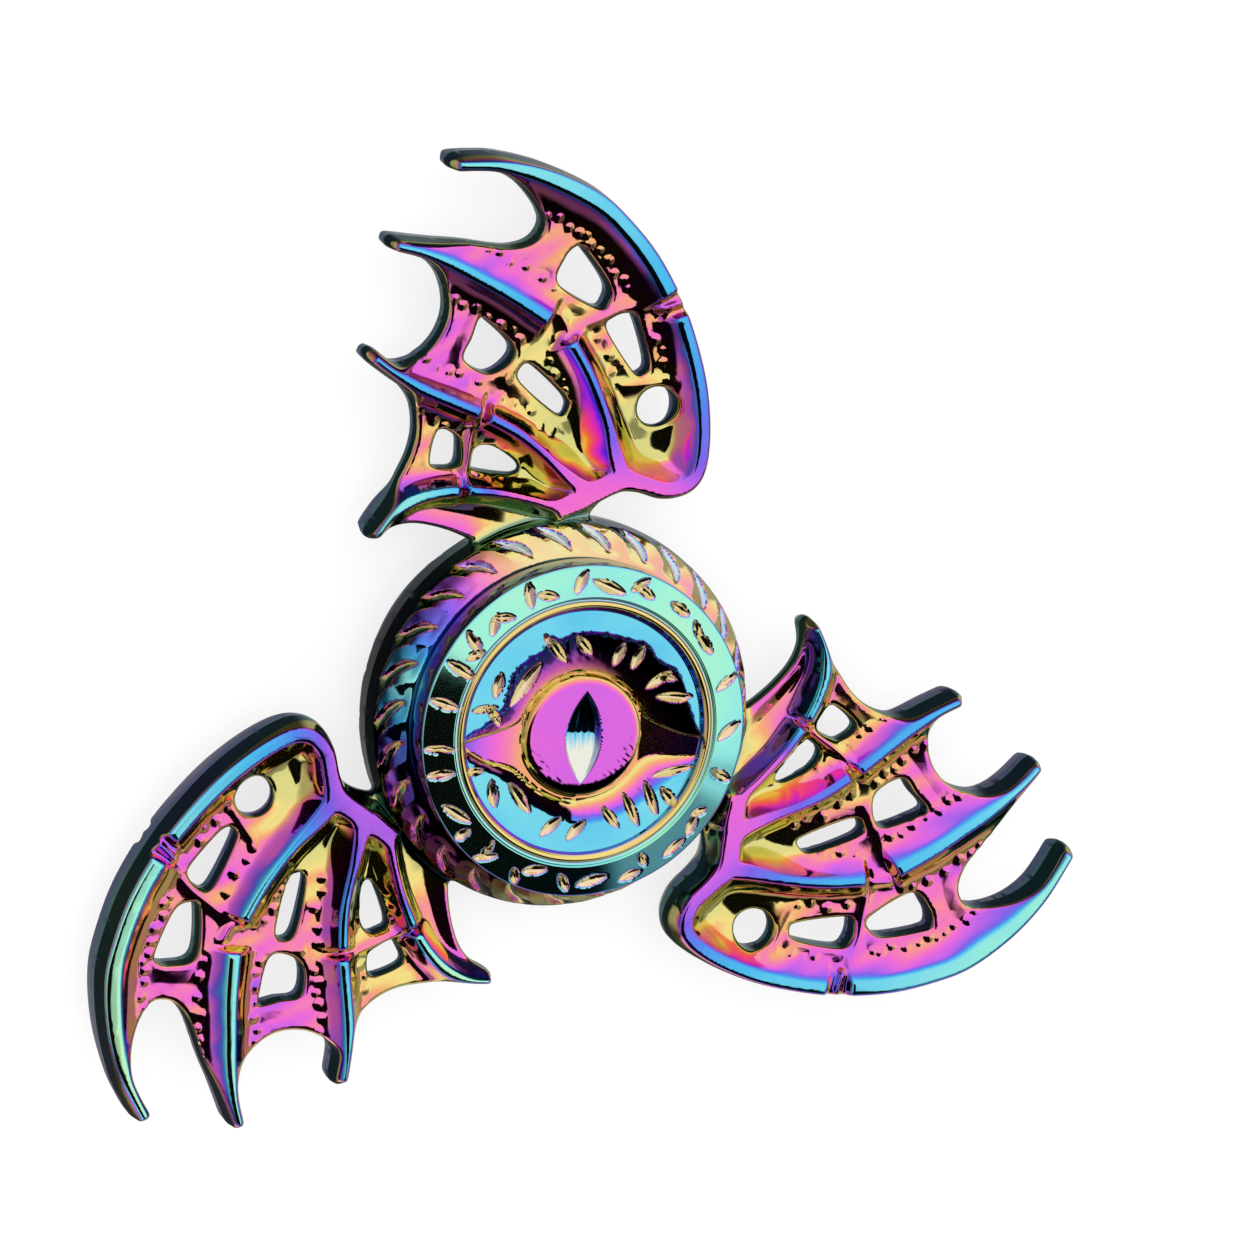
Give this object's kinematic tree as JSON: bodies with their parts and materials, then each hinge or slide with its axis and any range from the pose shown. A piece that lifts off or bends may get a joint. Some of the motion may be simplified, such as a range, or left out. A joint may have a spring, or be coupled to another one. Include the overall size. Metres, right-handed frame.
{
  "type": "fidget spinner",
  "caption": "Hand spinner: a flat ring with pierced, ribbed bat wings turns on a ball bearing between round finger caps with an eye relief.",
  "frame": {"origin": "centre of the bearing, midway between the two finger caps", "axes": "+Z along the spin axis towards the front cap, +Y towards the first wing; the spinner lies flat on its rear cap"},
  "size_m": [0.0623, 0.0597, 0.012],
  "materials": {
    "iridescent_zinc": "mirror-polished die-cast zinc alloy with a rainbow interference coating, from cyan through violet and magenta to gold with the angle",
    "bearing_steel": "ground and polished bearing steel",
    "cage_steel": "pressed steel, satin"
  },
  "bodies": {
    "hub": {"cap_front": "iridescent_zinc", "cap_rear": "iridescent_zinc", "bearing_inner_race": "bearing_steel"},
    "rotor": {"wing_frame": "iridescent_zinc", "bearing_outer_race": "bearing_steel", "shield_front": "bearing_steel", "shield_rear": "bearing_steel", "shield_clip_front": "bearing_steel", "shield_clip_rear": "bearing_steel"},
    "cage": {"ball_cage": "cage_steel"},
    "ball_01": {"bearing_ball_01": "bearing_steel"},
    "ball_02": {"bearing_ball_02": "bearing_steel"},
    "ball_03": {"bearing_ball_03": "bearing_steel"},
    "ball_04": {"bearing_ball_04": "bearing_steel"},
    "ball_05": {"bearing_ball_05": "bearing_steel"},
    "ball_06": {"bearing_ball_06": "bearing_steel"},
    "ball_07": {"bearing_ball_07": "bearing_steel"},
    "ball_08": {"bearing_ball_08": "bearing_steel"},
    "ball_09": {"bearing_ball_09": "bearing_steel"},
    "ball_10": {"bearing_ball_10": "bearing_steel"}
  },
  "joints": [
    {"name": "spin", "type": "hinge", "parent": "hub", "child": "rotor", "pos_m": [0, 0, 0], "axis": [0, 0, 1], "continuous": true},
    {"name": "cage_orbit", "type": "hinge", "parent": "hub", "child": "cage", "pos_m": [0, 0, 0], "axis": [0, 0, 1], "continuous": true},
    {"name": "ball_roll_01", "type": "hinge", "parent": "cage", "child": "ball_01", "pos_m": [0.00476, 0, 0], "axis": [0, 0, 1], "continuous": true},
    {"name": "ball_roll_02", "type": "hinge", "parent": "cage", "child": "ball_02", "pos_m": [0.00385, 0.0028, 0], "axis": [0, 0, 1], "continuous": true},
    {"name": "ball_roll_03", "type": "hinge", "parent": "cage", "child": "ball_03", "pos_m": [0.00147, 0.00453, 0], "axis": [0, 0, 1], "continuous": true},
    {"name": "ball_roll_04", "type": "hinge", "parent": "cage", "child": "ball_04", "pos_m": [-0.00147, 0.00453, 0], "axis": [0, 0, 1], "continuous": true},
    {"name": "ball_roll_05", "type": "hinge", "parent": "cage", "child": "ball_05", "pos_m": [-0.00385, 0.0028, 0], "axis": [0, 0, 1], "continuous": true},
    {"name": "ball_roll_06", "type": "hinge", "parent": "cage", "child": "ball_06", "pos_m": [-0.00476, 0, 0], "axis": [0, 0, 1], "continuous": true},
    {"name": "ball_roll_07", "type": "hinge", "parent": "cage", "child": "ball_07", "pos_m": [-0.00385, -0.0028, 0], "axis": [0, 0, 1], "continuous": true},
    {"name": "ball_roll_08", "type": "hinge", "parent": "cage", "child": "ball_08", "pos_m": [-0.00147, -0.00453, 0], "axis": [0, 0, 1], "continuous": true},
    {"name": "ball_roll_09", "type": "hinge", "parent": "cage", "child": "ball_09", "pos_m": [0.00147, -0.00453, 0], "axis": [0, 0, 1], "continuous": true},
    {"name": "ball_roll_10", "type": "hinge", "parent": "cage", "child": "ball_10", "pos_m": [0.00385, -0.0028, 0], "axis": [0, 0, 1], "continuous": true}
  ],
  "couplings": [
    {"joint": "cage_orbit", "follows": "spin", "ratio": 0.60499},
    {"joint": "ball_roll_01", "follows": "spin", "ratio": 2.2763},
    {"joint": "ball_roll_02", "follows": "spin", "ratio": 2.2763},
    {"joint": "ball_roll_03", "follows": "spin", "ratio": 2.2763},
    {"joint": "ball_roll_04", "follows": "spin", "ratio": 2.2763},
    {"joint": "ball_roll_05", "follows": "spin", "ratio": 2.2763},
    {"joint": "ball_roll_06", "follows": "spin", "ratio": 2.2763},
    {"joint": "ball_roll_07", "follows": "spin", "ratio": 2.2763},
    {"joint": "ball_roll_08", "follows": "spin", "ratio": 2.2763},
    {"joint": "ball_roll_09", "follows": "spin", "ratio": 2.2763},
    {"joint": "ball_roll_10", "follows": "spin", "ratio": 2.2763}
  ]
}
